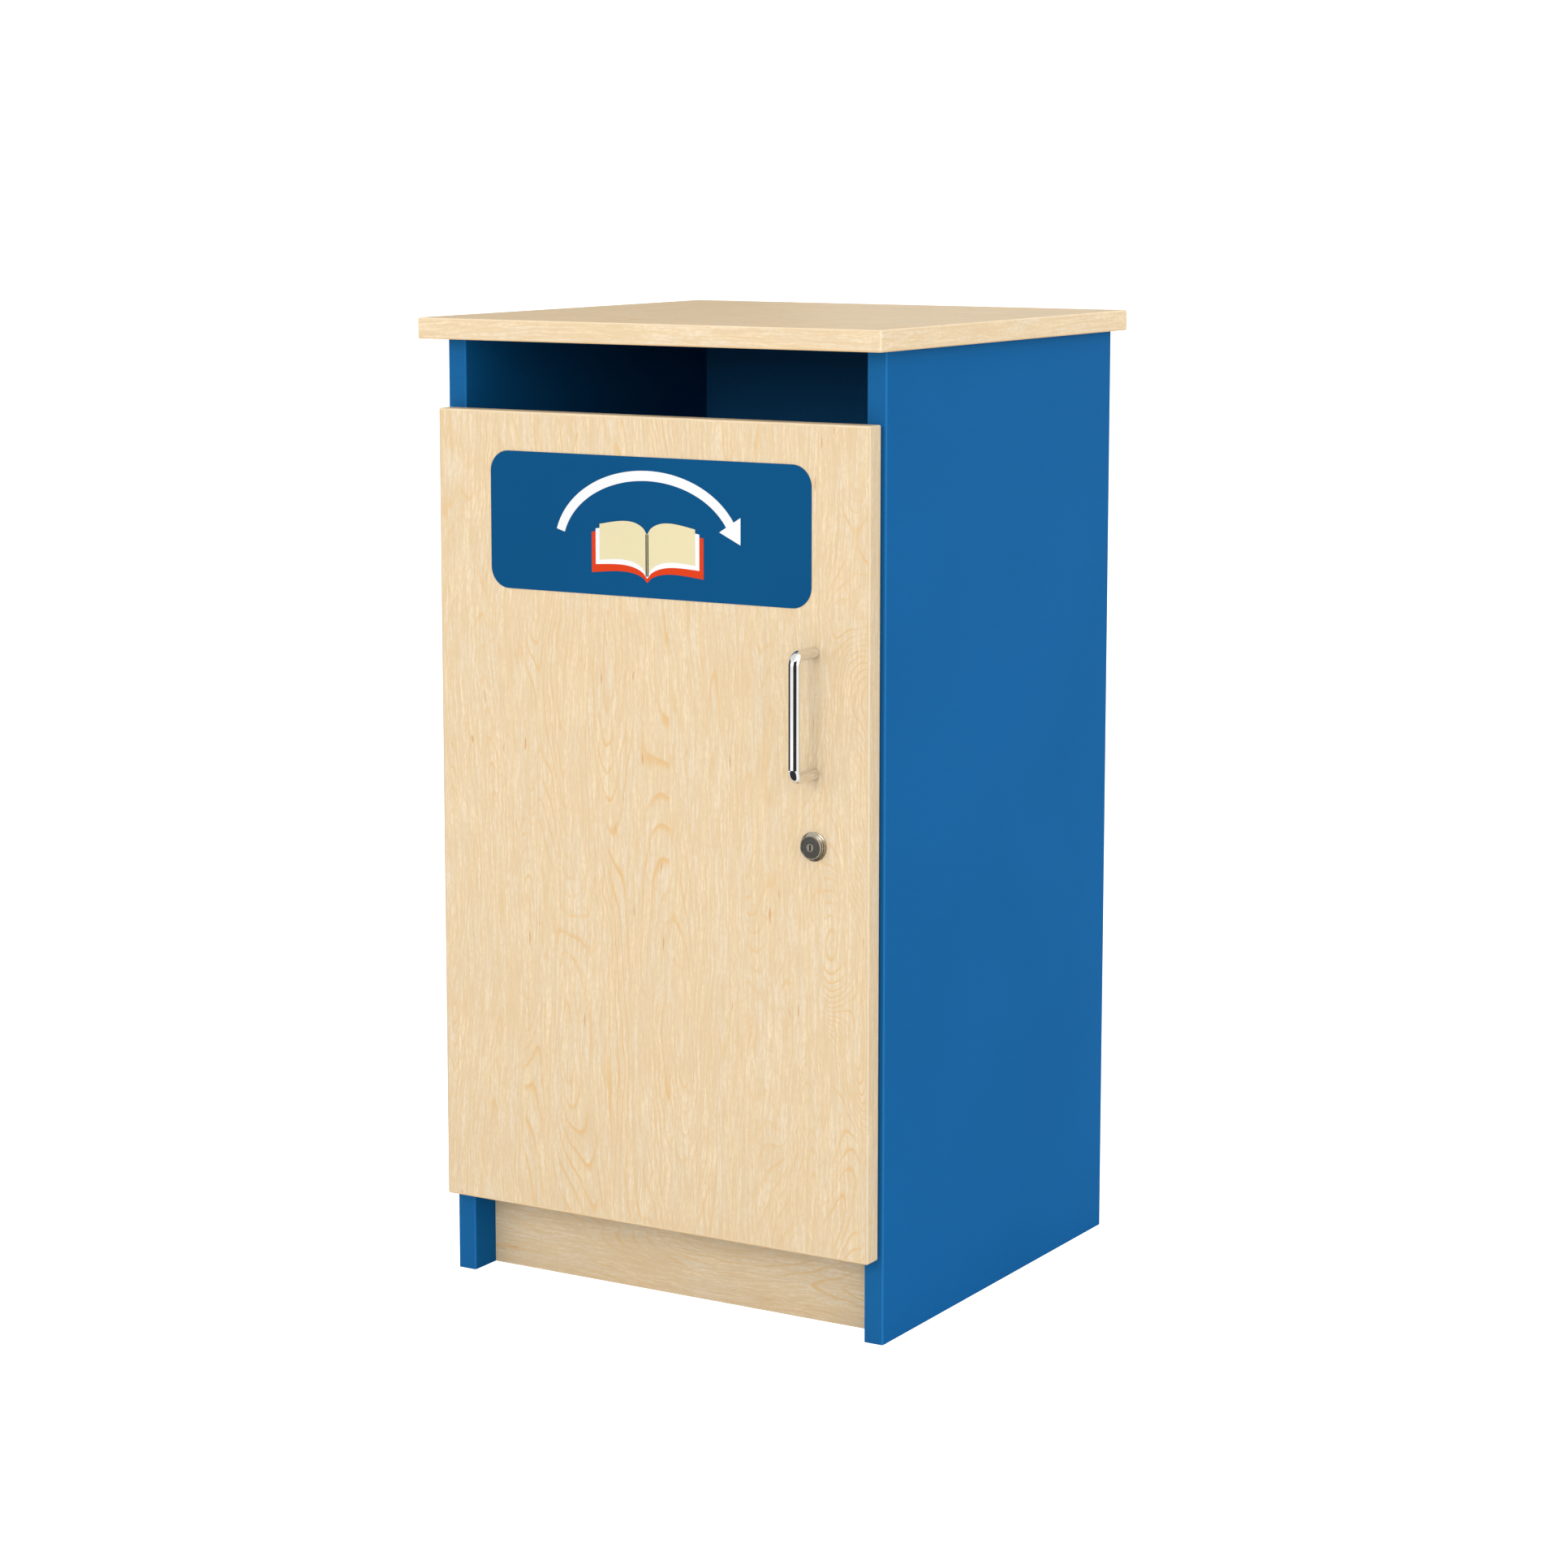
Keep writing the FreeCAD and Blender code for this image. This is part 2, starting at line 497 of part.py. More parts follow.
# ---------------------------------------------------------------- cam lock
def lock():
    """A cam lock: stepped head and barrel, nut, and a plug that turns the cam behind the door."""
    steps = [rod(f"lock_step_{count}", ("grip_x", f"{DOOR_FRONT} - {count} * flange_step", "lock_z"),
                 "-y", f"flange_rad - {count} * flange_shrink", "flange_step")
             for count in range(LOCK_STEPS)]
    head = f"{LOCK_STEPS} * flange_step"
    barrel = rod("lock_barrel", ("grip_x", "front_y + barrel_rear", "lock_z"), "-y",
                 "barrel_rad", "barrel_rear + door_gap + board")
    bore = rod("lock_bore", ("grip_x", "front_y + barrel_rear", "lock_z"), "-y",
               "plug_rad + plug_play", f"barrel_rear + door_gap + board + {head}")
    node(carve("lock_body", fuse("lock_body_blank", barrel, *steps), bore), "lock_body")
    nut_blank = doc.addObject("Part::Prism", "lock_nut_blank")
    nut_blank.Polygon = 6
    nut_blank.setExpression("Circumradius", bound("nut_rad"))
    nut_blank.setExpression("Height", bound("nut_thick"))
    place(nut_blank, ("grip_x", DOOR_BACK, "lock_z"), POINTING["+y"])
    barrel_room = rod("lock_room", ("grip_x", "front_y + barrel_rear", "lock_z"), "-y",
                      "barrel_rad", "barrel_rear + door_gap + board")
    node(carve("lock_nut", nut_blank, barrel_room), "lock_nut")

    cam_screw = node(screw("cam_screw", ("grip_x", "front_y + cam_y + cam_thick", "lock_z"), "-y",
                           "cam_screw_head", "cam_screw_cap", "cam_screw_rad",
                           "cam_thick + cam_screw_bite"), "cam_screw")
    plug_blank = rod("plug_blank", ("grip_x", "front_y + cam_y", "lock_z"), "-y",
                     "plug_rad", f"cam_y + door_gap + board + {head} + plug_proud")
    plug_front = f"{DOOR_FRONT} - {head} - plug_proud"
    keyway = box("keyway", ("grip_x - keyway_width / 2", plug_front, "lock_z - keyway_height / 2"),
                 ("keyway_width", "keyway_deep", "keyway_height"))
    node(carve("lock_plug", plug_blank, keyway, cam_screw), "lock_plug")
    cam_at = "front_y + cam_y"
    cam_eye = rod("cam_eye", ("grip_x", cam_at, "lock_z"), "+y", "cam_half", "cam_thick")
    cam_tip = rod("cam_tip", ("grip_x", cam_at, "lock_z - cam_reach + cam_half"), "+y",
                  "cam_half", "cam_thick")
    cam_strip = box("cam_strip", ("grip_x - cam_half", cam_at, "lock_z - cam_reach + cam_half"),
                    ("2 * cam_half", "cam_thick", "cam_reach - cam_half"))
    node(carve("lock_cam", fuse("cam_blank", cam_eye, cam_strip, cam_tip), cam_screw), "lock_cam")
    return barrel_room


# ---------------------------------------------------------------- door
def label_sheet():
    """A thin printed label with round corners."""
    sheet_box = box("label_blank", ("-label_width / 2", f"{DOOR_FRONT} - label_thick",
                                    "label_z - label_height / 2"),
                    ("label_width", "label_thick", "label_height"))
    return node(rounded("label_plate", sheet_box, "label_corner",
                        lambda edge: runs_along(edge, Vector(0, 1, 0))), "sign_label")


def door_buffers():
    """Two soft pads between the door and the right side panel."""
    pads = [rod(f"buffer_{place_name}", ("half_width - board / 2", DOOR_BACK, z), "+y",
                "buffer_rad", "buffer_thick")
            for place_name, z in (("lower", "door_bottom + buffer_inset"),
                                  ("upper", "door_bottom + door_height - buffer_inset"))]
    return node(group("door_buffers", pads), "door_buffers")


def door(cup_rooms, cup_screws, handle_screws, barrel_room):
    banded_board("door", ("-door_half", DOOR_FRONT, "door_bottom"),
                 ("2 * door_half", "board", "door_height"), ("band", "0", "band"),
                 cup_rooms, cup_screws, handle_screws, barrel_room)
    label_sheet()
    door_buffers()


def build():
    dowels = carcass_dowels()
    bolts, discs = cam_fittings()
    plate_screws = hinge_carcass_half()
    keep_screws = lock_keep()
    carcass_boards(dowels, bolts, discs, plate_screws, keep_screws)
    cup_rooms, cup_screws = hinge_door_half()
    handle_screws = handle()
    barrel_room = lock()
    door(cup_rooms, cup_screws, handle_screws, barrel_room)
    doc.recompute()


def check_and_export():
    """Stops on any failed object, then writes each sub-part to its own file."""
    for shape in doc.Objects:
        if {"Invalid", "Error"} & set(shape.State):
            raise RuntimeError(f"{shape.Label} did not build: {shape.State}")
    os.makedirs("parts", exist_ok=True)
    for piece in nodes:
        if piece.Shape.isNull() or not piece.Shape.isValid() or not piece.Shape.Solids:
            raise RuntimeError(f"{piece.Label} has no valid solid")
        piece.Shape.exportStep(f"parts/{piece.Label}.step")
        print(piece.Label, len(piece.Shape.Solids), round(piece.Shape.Volume, 1))


build()
check_and_export()
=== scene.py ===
"""Looks of the book drop box: finishes, printed label, handle, lock head, screws, light and camera."""
import math

import bmesh
import bpy
from mathutils import Matrix, Vector


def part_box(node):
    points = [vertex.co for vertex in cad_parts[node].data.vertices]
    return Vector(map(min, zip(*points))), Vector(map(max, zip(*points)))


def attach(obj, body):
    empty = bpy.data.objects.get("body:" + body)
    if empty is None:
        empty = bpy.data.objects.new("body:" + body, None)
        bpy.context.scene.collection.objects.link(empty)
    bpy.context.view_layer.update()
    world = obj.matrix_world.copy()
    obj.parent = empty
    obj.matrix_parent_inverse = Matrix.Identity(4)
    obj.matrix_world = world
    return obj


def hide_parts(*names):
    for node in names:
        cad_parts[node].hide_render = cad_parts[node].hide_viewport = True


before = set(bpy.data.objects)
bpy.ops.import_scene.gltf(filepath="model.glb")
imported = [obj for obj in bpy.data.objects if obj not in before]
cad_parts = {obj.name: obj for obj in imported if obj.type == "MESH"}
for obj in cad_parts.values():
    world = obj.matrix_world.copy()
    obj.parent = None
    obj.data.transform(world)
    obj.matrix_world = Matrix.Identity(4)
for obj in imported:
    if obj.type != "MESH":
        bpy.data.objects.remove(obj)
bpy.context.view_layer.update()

MM = 0.001


# ---------------------------------------------------------------- shader building blocks
class Graph:
    """A node material with a Principled shader, built one node at a time."""

    def __init__(self, name, **sockets):
        self.material = bpy.data.materials.new(name)
        self.material.use_nodes = True
        self.nodes = self.material.node_tree.nodes
        self.links = self.material.node_tree.links
        self.shader = self.nodes["Principled BSDF"]
        for socket, value in sockets.items():
            self.shader.inputs[socket.replace("_", " ")].default_value = value

    def plug(self, socket, source):
        """Feeds an input from another node's output, or sets it to a plain value."""
        if isinstance(source, bpy.types.NodeSocket):
            self.links.new(source, socket)
        else:
            socket.default_value = source

    def to_shader(self, socket, source):
        self.plug(self.shader.inputs[socket], source)

    def place(self):
        """Where a point is, in metres, in the frame that the whole box shares."""
        return self.nodes.new("ShaderNodeTexCoord").outputs["Object"]

    def normal(self):
        return self.nodes.new("ShaderNodeNewGeometry").outputs["Normal"]

    def parts(self, vector):
        node = self.nodes.new("ShaderNodeSeparateXYZ")
        self.plug(node.inputs[0], vector)
        return node.outputs

    def join(self, x, y, z):
        node = self.nodes.new("ShaderNodeCombineXYZ")
        for socket, source in zip(node.inputs, (x, y, z)):
            self.plug(socket, source)
        return node.outputs[0]

    def math(self, operation, *sources):
        node = self.nodes.new("ShaderNodeMath")
        node.operation = operation
        for socket, source in zip(node.inputs, sources):
            self.plug(socket, source)
        return node.outputs[0]

    def noise(self, vector, scale=1.0, detail=2.0, rough=0.5, twist=0.0):
        node = self.nodes.new("ShaderNodeTexNoise")
        self.plug(node.inputs["Vector"], vector)
        settings = {"Scale": scale, "Detail": detail, "Roughness": rough, "Distortion": twist}
        for socket, value in settings.items():
            self.plug(node.inputs[socket], value)
        return node.outputs[0]

    def cells(self, vector, scale, feature="F1", output="Distance"):
        node = self.nodes.new("ShaderNodeTexVoronoi")
        node.feature = feature
        self.plug(node.inputs["Vector"], vector)
        self.plug(node.inputs["Scale"], scale)
        return node.outputs[output]

    def random(self, source):
        """A different number from 0 to 1 for each whole number."""
        node = self.nodes.new("ShaderNodeTexWhiteNoise")
        node.noise_dimensions = "1D"
        self.plug(node.inputs["W"], source)
        return node.outputs["Value"]

    def fade(self, source, low, high, to_low=0.0, to_high=1.0, smooth=True):
        node = self.nodes.new("ShaderNodeMapRange")
        node.interpolation_type = "SMOOTHSTEP" if smooth else "LINEAR"
        for socket, value in zip(node.inputs, (source, low, high, to_low, to_high)):
            self.plug(socket, value)
        return node.outputs[0]

    def blend(self, factor, first, second, mode="MIX"):
        node = self.nodes.new("ShaderNodeMix")
        node.data_type = "RGBA"
        node.blend_type = mode
        self.plug(node.inputs[0], factor)
        self.plug(node.inputs[6], first)
        self.plug(node.inputs[7], second)
        return node.outputs[2]

    def arris(self):
        """1 where a rounded edge faces half way between two axes, and 0 on the flats; the mask for painted
        highlights on rounded edges.
        """
        x, y, z = [self.math("MULTIPLY", part, part) for part in self.parts(self.normal())]
        pairs = [self.math("MULTIPLY", first, second) for first, second in ((x, y), (y, z), (x, z))]
        return self.math("MULTIPLY", self.math("ADD", self.math("ADD", pairs[0], pairs[1]), pairs[2]), 4.0)

    def bump(self, height, strength, distance):
        node = self.nodes.new("ShaderNodeBump")
        self.plug(node.inputs["Height"], height)
        self.plug(node.inputs["Strength"], strength)
        self.plug(node.inputs["Distance"], distance)
        self.to_shader("Normal", node.outputs[0])


def linear(red, green, blue):
    """An sRGB colour of 0 to 255 as the shader's linear colour."""
    def channel(value):
        share = value / 255
        return share / 12.92 if share <= 0.04045 else ((share + 0.055) / 1.055) ** 2.4
    return (channel(red), channel(green), channel(blue), 1.0)


# ---------------------------------------------------------------- finishes
def maple(name, along, seed=0.0, tint=1.0, strip=False):
    """Printed maple figure: planks with contour lines, fine fibres and a few brown flecks.

    along is the grain's axis; strip is the narrow edging, which only shows fine lines, with a painted
    highlight on its rounded edges and painted shade on its rounded edges that face down.
    """
    graph = Graph(name, Specular_IOR_Level=0.015)
    axes = dict(zip("xyz", graph.parts(graph.place())))
    grain = axes.pop(along)
    across = graph.math("ADD", *axes.values())

    def stretched(across_scale, grain_scale, shift=0.0, source=None):
        """A place for a noise, drawn out along the grain."""
        return graph.join(graph.math("MULTIPLY_ADD", source or across, across_scale, shift),
                          graph.math("MULTIPLY_ADD", grain, grain_scale, shift), seed)

    drift = graph.noise(stretched(6.0, 3.0), detail=1.0)
    wiggle = graph.noise(stretched(60.0, 30.0, 5.0), detail=2.5)
    bent = graph.math("MULTIPLY_ADD", graph.math("SUBTRACT", drift, 0.5), 0.035, across)
    bent = graph.math("MULTIPLY_ADD", graph.math("SUBTRACT", wiggle, 0.5), 0.0052, bent)
    tremor = graph.noise(stretched(150.0, 95.0, 6.0), detail=2.0)
    bent = graph.math("MULTIPLY_ADD", graph.math("SUBTRACT", tremor, 0.5), 0.0016, bent)

    plank = graph.math("FLOOR", graph.math("DIVIDE", graph.math("ADD", across, 0.0325 + seed), 0.0745))
    chance = graph.random(graph.math("ADD", plank, seed * 7.0))
    lift = graph.math("MULTIPLY", chance, 31.0)
    stretch = graph.fade(graph.random(graph.math("ADD", plank, seed + 5.7)), 0.3, 1.0, 1.9, 4.4)
    contour_place = graph.join(graph.math("MULTIPLY_ADD", bent, 12.0, lift),
                               graph.math("MULTIPLY_ADD", grain, stretch, lift), seed)
    level = graph.noise(contour_place, detail=1.4, rough=0.45, twist=0.25)
    density = graph.fade(chance, 0.0, 1.0, 40.0, 66.0, smooth=False)
    ring = graph.math("FRACT", graph.math("MULTIPLY", level, density))
    late_wood = graph.math("MULTIPLY", graph.fade(ring, 0.66, 0.90), graph.fade(ring, 1.0, 0.92))
    broken = graph.fade(graph.noise(stretched(45.0, 12.0, 2.0), detail=3.0), 0.36, 0.64, 0.15, 0.95)

    fibre = graph.noise(stretched(520.0, 30.0, 0.0, bent), detail=3.0, rough=0.75)
    strand = graph.noise(stretched(260.0, 10.0, 4.0, bent), detail=2.0, rough=0.6)
    speck = graph.noise(stretched(380.0, 170.0, 8.0), detail=2.0)
    cloud = graph.noise(stretched(14.0, 6.0), detail=2.0)
    hue = graph.noise(stretched(90.0, 12.0, 3.0, bent), detail=3.0)
    fleck = graph.fade(graph.noise(stretched(260.0, 30.0, 9.0, bent), detail=1.0), 0.73, 0.80)

    base = [value * tint for value in (0.666, 0.549, 0.390)]
    pale = (*[value * 1.02 for value in base], 1.0)
    warm = (base[0] * 0.985, base[1] * 0.965, base[2] * 0.92, 1.0)
    grey = (base[0] * 0.94, base[1] * 0.975, base[2] * 1.04, 1.0)
    tan = (base[0] * 0.86, base[1] * 0.795, base[2] * 0.69, 1.0)
    late = (base[0] * 0.89, base[1] * 0.72, base[2] * 0.50, 1.0)
    brown = (base[0] * 0.72, base[1] * 0.46, base[2] * 0.27, 1.0)
    colour = graph.blend(graph.fade(cloud, 0.35, 0.65), pale, warm)
    colour = graph.blend(graph.math("MULTIPLY", graph.fade(hue, 0.42, 0.60), 0.85), colour, grey)
    colour = graph.blend(graph.math("MULTIPLY", graph.fade(strand, 0.40, 0.62), 0.55), colour, tan)
    colour = graph.blend(graph.math("MULTIPLY", graph.fade(fibre, 0.42, 0.60), 0.80), colour, tan)
    colour = graph.blend(graph.math("MULTIPLY", graph.fade(speck, 0.42, 0.62), 0.45), colour, tan)
    if not strip:
        depth = graph.fade(graph.random(graph.math("ADD", plank, 3.3)), 0.0, 1.0, 0.55, 1.0, smooth=False)
        share = graph.math("MULTIPLY", graph.math("MULTIPLY", late_wood, broken), depth)
        colour = graph.blend(share, colour, late)
        colour = graph.blend(graph.math("MULTIPLY", fleck, 0.75), colour, brown)
    else:
        # A mask of the rounded edges that face down, for painted shade under the strip.
        height = graph.parts(graph.normal())[2]
        under = graph.fade(height, -0.95, -0.75, smooth=False)
        under = graph.math("MULTIPLY", under, graph.fade(height, -0.1, -0.4, smooth=False))
        # Painted highlight: the rounded edges of the strip are painted lighter.
        colour = graph.blend(graph.math("MULTIPLY", graph.arris(), 0.6), colour,
                             (base[0] * 1.18, base[1] * 1.18, base[2] * 1.16, 1.0))
        # Painted shade: the downward-facing rounded edges are darkened towards late-wood brown.
        colour = graph.blend(graph.math("MULTIPLY", under, 0.8), colour, late)
    graph.to_shader("Base Color", colour)
    graph.to_shader("Roughness", graph.fade(fibre, 0.3, 0.7, 0.42, 0.54))
    graph.bump(fibre, 0.12, 0.0002)
    return graph.material


def blue_board(name, colour, rough=0.5):
    """Blue facing with the fine pearl texture of melamine, and a painted highlight on its rounded edges."""
    graph = Graph(name, Specular_IOR_Level=0.012)
    pearl = graph.noise(graph.place(), scale=900.0, detail=2.0)
    patch = graph.noise(graph.place(), scale=5.0, detail=2.0)
    darker = (*[value * 0.94 for value in colour[:3]], 1.0)
    lighter = (*[value * 1.05 for value in colour[:3]], 1.0)
    tone = graph.math("ADD", graph.math("MULTIPLY", pearl, 0.6), graph.math("MULTIPLY", patch, 0.4))
    facing = graph.blend(graph.fade(tone, 0.35, 0.65), darker, lighter)
    # Painted highlight: the rounded edges are painted a lighter blue along the arris.
    wear_and_painted_highlight = (colour[0] * 1.6, colour[1] * 1.45, colour[2] * 1.45, 1.0)
    graph.to_shader("Base Color", graph.blend(graph.arris(), facing, wear_and_painted_highlight))
    graph.to_shader("Roughness", graph.fade(pearl, 0.3, 0.7, rough - 0.06, rough + 0.06))
    graph.bump(pearl, 0.10, 0.0001)
    return graph.material


def metal(name, colour, rough, scratch=0.05, grain=(90.0, 90.0, 3200.0)):
    """Plated or brushed metal: faint lines along one direction and patchy gloss."""
    graph = Graph(name, Metallic=1.0)
    x, y, z = graph.parts(graph.place())
    lines = graph.noise(graph.join(graph.math("MULTIPLY", x, grain[0]), graph.math("MULTIPLY", y, grain[1]),
                                   graph.math("MULTIPLY", z, grain[2])), detail=3.0)
    haze = graph.noise(graph.place(), scale=45.0, detail=3.0)
    # On metal this is only a duller patchy wear tone; no highlight is painted here.
    wear_and_painted_highlight = (*[value * 0.9 for value in colour[:3]], 1.0)
    graph.to_shader("Base Color", graph.blend(haze, wear_and_painted_highlight, colour))
    graph.to_shader("Roughness", graph.fade(graph.math("ADD", graph.math("MULTIPLY", lines, 0.5),
                                                       graph.math("MULTIPLY", haze, 0.5)),
                                            0.35, 0.65, rough, rough + scratch))
    graph.bump(lines, 0.02, 0.00004)
    return graph.material


def printed(name, colour, rough=0.38):
    """Ink on film: a faint screen and slightly uneven gloss."""
    graph = Graph(name, Specular_IOR_Level=0.03)
    screen = graph.noise(graph.place(), scale=700.0, detail=2.0)
    sweep = graph.noise(graph.place(), scale=7.0, detail=1.0)
    dim = (*[value * 0.95 for value in colour[:3]], 1.0)
    graph.to_shader("Base Color", graph.blend(graph.fade(sweep, 0.35, 0.65), dim, colour))
    graph.to_shader("Roughness", graph.fade(screen, 0.3, 0.7, rough, rough + 0.08))
    graph.bump(screen, 0.04, 0.00005)
    return graph.material


def chipboard(name):
    """The bare chip core that shows on unlipped edges."""
    graph = Graph(name, Roughness=0.85, Specular_IOR_Level=0.2)
    x, y, z = graph.parts(graph.place())
    flat = graph.join(x, y, z)
    chips = graph.cells(flat, 420.0, output="Color")
    shade = graph.parts(chips)[0]
    gap = graph.fade(graph.cells(flat, 420.0), 0.35, 0.7)
    light = linear(206, 172, 128)
    dark = linear(150, 112, 72)
    colour = graph.blend(shade, dark, light)
    graph.to_shader("Base Color", graph.blend(graph.math("MULTIPLY", gap, 0.6), colour, linear(96, 66, 40)))
    graph.bump(gap, 0.5, -0.0004)
    return graph.material


def soft_plastic(name, colour):
    graph = Graph(name, Roughness=0.35, Subsurface_Weight=0.2, Transmission_Weight=0.25)
    mottle = graph.noise(graph.place(), scale=220.0, detail=2.0)
    dim = (*[value * 0.9 for value in colour[:3]], 1.0)
    graph.to_shader("Base Color", graph.blend(mottle, dim, colour))
    graph.bump(mottle, 0.1, 0.0001)
    return graph.material


def beech(name):
    graph = Graph(name, Roughness=0.7, Specular_IOR_Level=0.25)
    x, y, z = graph.parts(graph.place())
    fibre = graph.noise(graph.join(graph.math("MULTIPLY", x, 60.0), graph.math("MULTIPLY", y, 900.0),
                                   graph.math("MULTIPLY", z, 900.0)), detail=3.0)
    pale, tan = linear(214, 172, 124), linear(186, 138, 92)
    graph.to_shader("Base Color", graph.blend(graph.fade(fibre, 0.35, 0.65), pale, tan))
    graph.bump(fibre, 0.3, 0.0002)
    return graph.material


BLUE = (0.0042, 0.093, 0.262, 1.0)
BLUE_EDGE = (0.0092, 0.0980, 0.262, 1.0)
# The back panel's blue is a lighter copy of the side panels' blue: painted light on the back wall seen
# through the slot.
BLUE_BACK_PAINTED_LIGHT = (0.0170, 0.1400, 0.355, 1.0)

FINISH = {
    "maple_upright": maple("maple_upright", "z"),
    "maple_lying": maple("maple_lying", "x", seed=2.0),
    "maple_top": maple("maple_top", "x", seed=5.0),
    # The door's upright edging is a darker copy of the maple strip (tint 0.9): painted shade on the door's
    # side edges.
    "strip_upright_shaded": maple("strip_upright_shaded", "z", seed=1.0, tint=0.9, strip=True),
    "strip_lying": maple("strip_lying", "x", seed=3.0, tint=1.03, strip=True),
    "strip_deep": maple("strip_deep", "y", seed=4.0, tint=1.03, strip=True),
    "blue": blue_board("blue_facing", BLUE),
    "blue_edge": blue_board("blue_edging", BLUE_EDGE, rough=0.4),
    "blue_back": blue_board("blue_back_painted_light", BLUE_BACK_PAINTED_LIGHT),
    "chipboard": chipboard("bare_chipboard"),
    "chrome": metal("chrome_plate", (0.86, 0.865, 0.87, 1.0), 0.04, scratch=0.03),
    "nickel": metal("satin_nickel", (0.56, 0.53, 0.46, 1.0), 0.2, scratch=0.1),
    "hinge_steel": metal("hinge_plating", (0.72, 0.71, 0.68, 1.0), 0.34, scratch=0.1),
    "nickel_dark": metal("nickel_face", (0.16, 0.15, 0.13, 1.0), 0.42, scratch=0.12),
    "zinc": metal("zinc_plate", (0.66, 0.67, 0.68, 1.0), 0.24, scratch=0.12),
    "die_cast": metal("die_cast_zinc", (0.50, 0.51, 0.52, 1.0), 0.4, scratch=0.15),
    "beech": beech("beech_dowel"),
    "pad": soft_plastic("soft_pad", (0.75, 0.76, 0.74, 1.0)),
    "label_blue": printed("label_blue", (0.0022, 0.064, 0.172, 1.0)),
    "label_white": printed("label_white", (0.70, 0.70, 0.71, 1.0)),
    "label_cream": printed("label_cream", (0.62, 0.55, 0.345, 1.0)),
    "label_red": printed("label_red", (0.56, 0.042, 0.009, 1.0)),
    "label_dark": printed("label_dark", (0.012, 0.014, 0.016, 1.0)),
}

NODE_FINISH = {
    "dowels": "beech", "cam_bolts": "zinc", "cam_discs": "die_cast",
    "hinge_arms": "hinge_steel", "hinge_plates": "hinge_steel", "hinge_cups": "hinge_steel",
    "hinge_pins": "zinc",
    "arm_screws": "zinc", "plate_screws": "zinc", "cup_screws": "zinc",
    "lock_keep": "zinc", "keep_screws": "zinc", "handle_screws": "zinc",
    "back_panel": "blue_back", "left_side_panel": "blue", "right_side_panel": "blue",
    "base_panel": "blue", "rear_rail": "blue",
    "left_side_edging": "blue_edge", "right_side_edging": "blue_edge", "base_edging": "blue_edge",
    "top_panel": "maple_top", "top_edging": "strip_lying",
    "plinth_board": "maple_lying", "door_panel": "maple_upright", "door_edging": "strip_upright_shaded",
    "sign_label": "label_blue", "handle": "chrome",
    "lock_body": "nickel", "lock_nut": "die_cast", "lock_plug": "nickel", "lock_cam": "zinc",
    "cam_screw": "zinc", "door_buffers": "pad",
}


def dress(node, finish):
    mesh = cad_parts[node].data
    mesh.materials.clear()
    mesh.materials.append(FINISH[finish])


def bare_underside(node):
    """Shows the chip core on the edges that stand on or face the floor."""
    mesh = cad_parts[node].data
    mesh.materials.append(FINISH["chipboard"])
    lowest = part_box(node)[0].z
    for polygon in mesh.polygons:
        if polygon.normal.z < -0.9 and polygon.center.z < lowest + MM:
            polygon.material_index = 1


for node, finish in NODE_FINISH.items():
    dress(node, finish)
for node in ("left_side_panel", "right_side_panel", "plinth_board", "back_panel", "rear_rail"):
    bare_underside(node)


def add_piece(name, mesh, finish, body, stands_for=(), smooth_angle=35.0):
    """A finished object that rides on a body and may stand for CAD nodes."""
    mesh.materials.clear()
    mesh.materials.append(FINISH[finish])
    for polygon in mesh.polygons:
        polygon.use_smooth = True
    mesh.set_sharp_from_angle(angle=math.radians(smooth_angle))
    item = bpy.data.objects.new(name, mesh)
    bpy.context.scene.collection.objects.link(item)
    even = item.modifiers.new("even_normals", "WEIGHTED_NORMAL")
    even.keep_sharp = True
    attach(item, body)
    if stands_for:
        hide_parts(*stands_for)
    return item


def to_mesh(bm, name):
    bmesh.ops.recalc_face_normals(bm, faces=bm.faces[:])
    mesh = bpy.data.meshes.new(name)
    bm.to_mesh(mesh)
    bm.free()
    return mesh


def lathe(bm, profile, segments=64):
    """A solid turned about Z from its (radius, height) outline; radius 0 closes an end. Returns its rings."""
    rings = []
    for radius, height in profile:
        if radius == 0:
            rings.append([bm.verts.new((0, 0, height))])
            continue
        turns = [2 * math.pi * step / segments for step in range(segments)]
        rings.append([bm.verts.new((radius * math.cos(turn), radius * math.sin(turn), height))
                      for turn in turns])
    for lower, upper in zip(rings, rings[1:]):
        for step in range(segments):
            after = (step + 1) % segments
            corners = [lower[step % len(lower)], lower[after % len(lower)],
                       upper[after % len(upper)], upper[step % len(upper)]]
            unique = list(dict.fromkeys(corners))
            if len(unique) > 2:
                bm.faces.new(unique)
    return rings


def rounded_box(bm, low, high, radius, edges=lambda edge: True, segments=5):
    """A box between two corners with its chosen edges rounded."""
    made = bmesh.ops.create_cube(bm, size=1.0)["verts"]
    for vert in made:
        share = Vector([coordinate + 0.5 for coordinate in vert.co])
        vert.co = Vector([a + (b - a) * part for a, b, part in zip(low, high, share)])
    chosen = [edge for edge in bm.edges if edge.verts[0] in made and edges(edge)]
    bmesh.ops.bevel(bm, geom=chosen, offset=radius, segments=segments, affect="EDGES", profile=0.5)


def along(edge, axis):
    run = edge.verts[1].co - edge.verts[0].co
    return abs(run[axis]) > 0.99 * run.length


